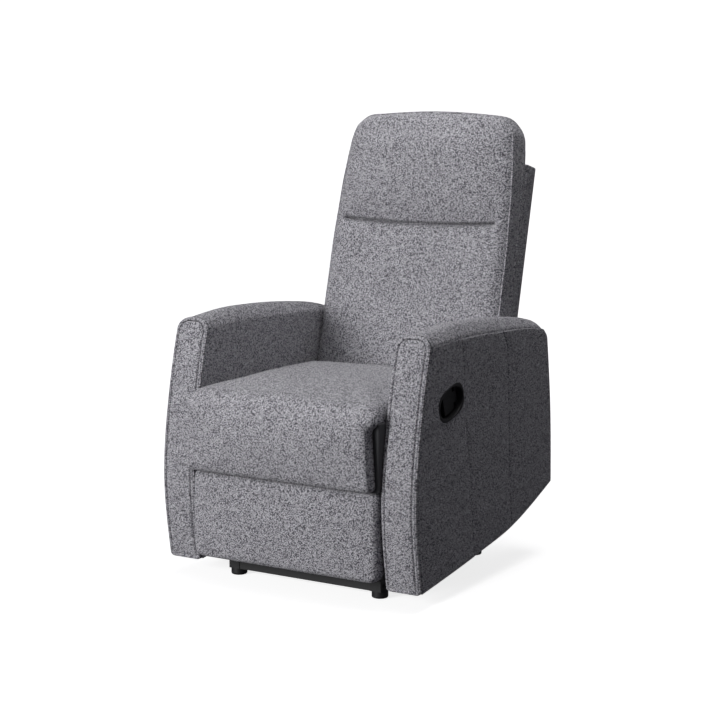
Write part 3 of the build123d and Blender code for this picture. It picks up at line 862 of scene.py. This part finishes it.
# ---- backrest ---------------------------------------------------------------------------------------
# A board back with a wrapped timber frame, and one long cushion in front of it. The cushion's face
# is sewn to a boxing strip, the strip to the back, and a pinched seam parts the head from the rest.
LEAN = math.radians(13.77)
HINGE = [j for j in frame["joints"] if j["name"] == "back_recline"][0]["pos_m"]
BACK_TOP, BACK_HALF = 0.671, 0.240        # along the lean from the hinge; half width
CREASE = 0.5125
HEAD_TOP = 0.780
PAD_FOOT, PAD_FRONT = 0.086, 0.091        # foot of the cushion along the lean; its face


def leaned(points):
    """From the back's own plane (across, up the lean, forwards) into the frame."""
    x, up, out = np.moveaxis(np.asarray(points, float), -1, 0)
    y = HINGE[1] + up * math.sin(LEAN) - out * math.cos(LEAN)
    z = HINGE[2] + up * math.cos(LEAN) + out * math.sin(LEAN)
    return np.stack([x, y, z], -1)


def back_half(up):
    """Half width of the cushion at the boxing's rear seam."""
    return through([0.08, 0.30, CREASE, 0.66, 0.76], [0.2515, 0.2510, 0.248, 0.239, 0.227],
                   np.clip(up, 0.08, 0.76))


def back_cushion():
    wide = 0.240
    top = HEAD_TOP + 0.001
    points, faces = rounded_block((-wide, PAD_FOOT, 0.004), (wide, top, PAD_FRONT), 0.010, 0.010)
    for side in (-1, 1):
        eased(points, (0, 2), (side * wide, PAD_FRONT), (side, 1), 0.030)
        eased(points, (0, 1), (side * wide, top), (side, 1), 0.058)
    eased(points, (1, 2), (top, PAD_FRONT), (1, 1), 0.036)
    points[:, 0] *= back_half(points[:, 1]) / wide
    made = rough("back_cushion_cover", (points, faces))

    def held(p):
        x, up, out = np.abs(p[:, 0]), p[:, 1], p[:, 2]
        seam = (np.abs(up - CREASE) < 0.004) & (out > 0.06) & (x < 0.19)
        boxing = (x > back_half(up) - 0.010) & (out < 0.060)
        crown = (up > HEAD_TOP - 0.010) & (out < 0.050)
        return (out < 0.014) | seam | boxing | crown | (up < PAD_FOOT + 0.012)

    stuffed(made, 0.0060, held, 0.014, 5.0)
    p = corners(made)
    x, up, out = p.T
    front = step_up(out, 0.045, 0.085)
    inside = np.clip(1 - (x / 0.235) ** 2, 0, 1)
    # Two pillows: the head stands a little prouder and hangs over the pinched seam.
    head = step_up(up, CREASE - 0.004, CREASE + 0.010)
    head_swell = np.sin(np.clip((up - CREASE) / (HEAD_TOP - CREASE), 0, 1) * math.pi) ** 0.6
    rest_swell = np.sin(np.clip((up - 0.06) / (CREASE - 0.06), 0, 1) * math.pi) ** 0.5
    p[:, 2] += front * inside * (head * 0.008 * head_swell + (1 - head) * 0.004 * rest_swell)
    p[:, 1] += 0.011 * step_up(up, 0.70, 0.77) * np.cos(np.clip(x / 0.20, -1, 1) * math.pi / 2)
    sag = CREASE - 0.007 * np.cos(np.clip(x / 0.2, -1, 1) * math.pi / 2)
    across = 1 - step_up(np.abs(x), 0.196, 0.222)
    pinch = (0.028 * bell(up - sag, 0.0044) + 0.008 * bell(up - sag, 0.022)) * across
    p[:, 2] -= front * pinch
    hang = front * across * bell(up - sag - 0.013, 0.012)
    p[:, 1] -= 0.009 * hang
    p[:, 2] += front * 0.0012 * np.sin(x * 21.0 + up * 13.0) * np.sin(up * 27.0 - x * 8.0 + 0.8)
    shaped(made, leaned(p))
    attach(made, "backrest")
    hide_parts("back_cushion_lower", "back_cushion_head")
    return made


back_pad = back_cushion()


def tube(name, path, radius, finish, body, sides=8):
    """Round cord along a path of points, closed at both ends by shrinking to a point."""
    path = np.asarray(path, float)
    ahead = np.gradient(path, axis=0)
    ahead /= np.linalg.norm(ahead, axis=1, keepdims=True)
    over = np.cross(ahead, [0.3, 0.2, 0.93])
    over /= np.linalg.norm(over, axis=1, keepdims=True)
    third = np.cross(ahead, over)
    turn = np.linspace(0, 2 * math.pi, sides, endpoint=False)
    size = np.full(len(path), radius)
    size[[0, -1]] = radius * 0.05
    ring = (over[:, None] * np.cos(turn)[None, :, None] + third[:, None]
            * np.sin(turn)[None, :, None]) * size[:, None, None] + path[:, None]
    made = piece(name, ring, tube_faces(len(path), sides), finish, body)


def boxing_seams():
    """Two turned seams run up one side of the cushion, over the top and down the other; each is
    laid on the cover by the nearest point of its surface."""
    graph = bpy.context.evaluated_depsgraph_get()
    surface = BVHTree.FromObject(back_pad, graph)
    climb = np.linspace(0.10, 0.715, 90)
    turn = np.linspace(0, math.pi / 2, 14)[1:]
    for name, inset, out in (("front", 0.008, 0.072), ("rear", -0.004, 0.028)):
        half = back_half(climb) - inset
        top, corner = HEAD_TOP + 0.006 - inset, 0.044
        across = back_half(0.74) - inset - corner
        arc = np.stack([across + corner * np.cos(turn), top - corner + corner * np.sin(turn)], 1)
        bridge = np.linspace(across, -across, 50)[1:-1]
        side = np.concatenate([np.stack([half, climb], 1)[climb < top - corner], arc])
        path = np.concatenate([side, np.stack([bridge, np.full(48, top)], 1),
                               side[::-1] * (-1, 1)])
        guess = leaned(np.concatenate([path, np.full((len(path), 1), out)], 1))
        laid = np.array([surface.find_nearest(Vector(g))[0] for g in guess])
        for _ in range(3):
            laid[1:-1] = (laid[:-2] + 2 * laid[1:-1] + laid[2:]) / 4
        tube(f"back_seam_{name}", laid, 0.0027, cloth, "backrest")


boxing_seams()


def back_cover():
    """Wrapped back: a thin block with small round edges, and a skirt down to the foot."""
    points, faces = rounded_block((-BACK_HALF - 0.001, 0.074, -0.0435),
                                  (BACK_HALF + 0.001, BACK_TOP + 0.002, 0.0030), 0.005, 0.02)
    x, _, out = points.T
    rear = step_up(-out, 0.030, 0.040)
    points[:, 2] -= 0.002 * rear * np.clip(1 - (x / BACK_HALF) ** 6, 0, 1)
    made = piece("back_cover", leaned(points), faces, cloth, "backrest")
    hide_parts("back_outer_panel", "back_side_boards")
    points, faces = rounded_block((-BACK_HALF, 0.006, -0.0435), (BACK_HALF, 0.085, -0.0345),
                                  0.003, 0.02)
    skirt = piece("back_skirt", leaned(points), faces, cloth, "backrest")


back_cover()


# ---- release handle ---------------------------------------------------------------------------------
# Moulded black cup let into the arm's side, with a sprung flap that the fingers pull.
def moulded_black():
    f = Finish("moulded_black_plastic")
    p = f.place()
    grain = f.noise(p, 1500.0, 2.0)
    scuffs = f.noise(f.stretched(p, (120.0, 30.0, 120.0)), 1.0, 4.0)
    colour = f.mix(scuffs, (0.005, 0.005, 0.006, 1), (0.010, 0.010, 0.011, 1))
    return f.surface(Base_Color=colour, Roughness=0.42 + 0.2 * scuffs,
                     Normal=f.bump(grain, 0.3, 0.0003))


black_plastic = moulded_black()
for name in ("floor_glides", "base_rail_plugs", "release_cable", "handle_cup", "handle_lever"):
    wear(name, black_plastic)

cup_low, cup_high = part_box("handle_cup")
CUP_AT = ((cup_low.y + cup_high.y) / 2, (cup_low.z + cup_high.z) / 2)
CUP_TILT = math.radians(15.5)
CUP_A, CUP_B = 0.057, 0.036


def on_arm(along, up, out):
    """From the cup's own plane (long axis, short axis, out of the arm) into the frame."""
    along, up, out = np.broadcast_arrays(along, up, out)
    c, s = math.cos(CUP_TILT), math.sin(CUP_TILT)
    return np.stack([ARM_OUT + out, CUP_AT[0] + along * c - up * s,
                     CUP_AT[1] + along * s + up * c], -1)


def oval(turn, a, b, power):
    """Closed curve |p/a|^power + |q/b|^power = 1 as (p, q); 2 is an ellipse, 3 is squarer."""
    c, s = np.cos(turn), np.sin(turn)
    reach = (np.abs(c / a) ** power + np.abs(s / b) ** power) ** (-1 / power)
    return reach * c, reach * s


def handle_bezel():
    """Flat ring round the cup: its mouth is an ellipse, its outside is squarer."""
    long_way, short_way = 128, 20
    turn = np.linspace(0, 2 * math.pi, long_way, endpoint=False)[:, None]
    around = np.linspace(0, 2 * math.pi, short_way, endpoint=False)[None, :]
    inner = oval(turn, CUP_A * 0.93, CUP_B * 0.91, 2.0)
    outer = oval(turn, CUP_A + 0.0008, CUP_B + 0.0008, 2.9)
    share = 0.5 + 0.5 * np.cos(around)
    along, up = (i + (o - i) * share for i, o in zip(inner, outer))
    out = 0.0004 + 0.0022 * np.sign(np.sin(around)) * np.abs(np.sin(around)) ** 0.6
    grid = on_arm(along, up, out)
    i = np.arange(long_way * short_way).reshape(long_way, short_way)
    right, above = np.roll(i, -1, 0), np.roll(i, -1, 1)
    faces = np.stack([i, right, np.roll(right, -1, 1), above], -1).reshape(-1, 4)
    made = piece("handle_bezel", grid, faces, black_plastic, "seat_frame")


handle_bezel()


def cut_for_cup(made):
    """Opens the arm's side cover where the cup passes through it."""
    sides = 64
    turn = np.linspace(0, 2 * math.pi, sides, endpoint=False)
    rings = [on_arm((CUP_A - 0.001) * np.cos(turn), (CUP_B - 0.001) * np.sin(turn), depth)
             for depth in (-0.03, 0.02)]
    cutter = piece("cup_cutter", np.concatenate(rings), tube_faces(2, sides), cloth, None)
    cut = made.modifiers.new("cup", "BOOLEAN")
    cut.operation, cut.object, cut.solver = "DIFFERENCE", cutter, "EXACT"
    applied(made)
    bpy.data.objects.remove(cutter)


for name in ("arm_side_fore_right", "arm_side_middle_right"):
    cut_for_cup(bpy.data.objects[name])


# ---- floor, light and camera ------------------------------------------------------------------------
# Pale paper under and behind the chair, a broad lamp low in front and one overhead. A long lens
# stands off to the chair's left, above the arms, and looks slightly down.
def backdrop():
    """Round floor that sweeps up into a wall, pale and glowing from within; the glow is dimmer near
    the chair, a painted shade round it.
    """
    f = Finish("pale_paper")
    p = f.place()
    speck = f.noise(p, 3.0, 2.0)
    colour = f.mix(speck, (0.54, 0.54, 0.54, 1), (0.56, 0.56, 0.56, 1))
    x, y, _ = f.parts(p)
    from_middle = (x * x + y * y) ** 0.5
    # Emission is lower within a few metres of the chair: painted shade round the chair on the glowing
    # floor.
    glow_and_painted_shade = f.ramp(from_middle * 0.2, (0.20, (0.80, 0.80, 0.80)), (0.62, (1, 1, 1)))
    paper = f.surface(Base_Color=colour, Roughness=0.9, Emission_Color=glow_and_painted_shade,
                      Emission_Strength=1.0)
    run = np.concatenate([[0.0], np.linspace(1, 18, 52)])
    flat, bend = 7.0, 2.5
    turn = np.clip((run - flat) / bend, 0, math.pi / 2)
    far = np.minimum(run, flat) + bend * np.sin(turn)
    high = bend * (1 - np.cos(turn)) + np.maximum(run - flat - bend * math.pi / 2, 0)
    around = np.linspace(0, 2 * math.pi, 65)
    grid = np.stack(np.broadcast_arrays(far[:, None] * np.cos(around),
                                        far[:, None] * np.sin(around), high[:, None]), -1)
    floor = piece("floor", grid, quads(len(run), len(around)), paper, None)
    floor.visible_diffuse = floor.visible_glossy = floor.visible_shadow = False


backdrop()


def lamp(name, place, aim, size, power):
    light = bpy.data.lights.new(name, "AREA")
    light.shape, light.size, light.energy = "SQUARE", size, power
    made = bpy.data.objects.new(name, light)
    made.location = place
    made.rotation_euler = (Vector(aim) - Vector(place)).to_track_quat("-Z", "Y").to_euler()
    scene.collection.objects.link(made)


CHAIR = (0.0, 0.0, 0.5)
lamp("key", (-1.8, -4.9, 1.5), CHAIR, 1.6, 225)
lamp("overhead", (0.4, 0.3, 3.9), CHAIR, 2.0, 74)
world = bpy.data.worlds.new("studio")
world.use_nodes = True
world.node_tree.nodes["Background"].inputs[0].default_value = (0.93, 0.92, 1, 1)
world.node_tree.nodes["Background"].inputs[1].default_value = 0.10
scene.world = world
scene.view_settings.view_transform = "Standard"

camera = bpy.data.objects.new("camera", bpy.data.cameras.new("camera"))
camera.location = (2.2774, DEPTH_ZERO - 3.3753, 1.1622)
camera.rotation_euler = (math.radians(90 - 8.7146), 0, math.radians(31.6035))
camera.data.lens, camera.data.sensor_width = 92.5, 36.0
scene.collection.objects.link(camera)
scene.camera = camera
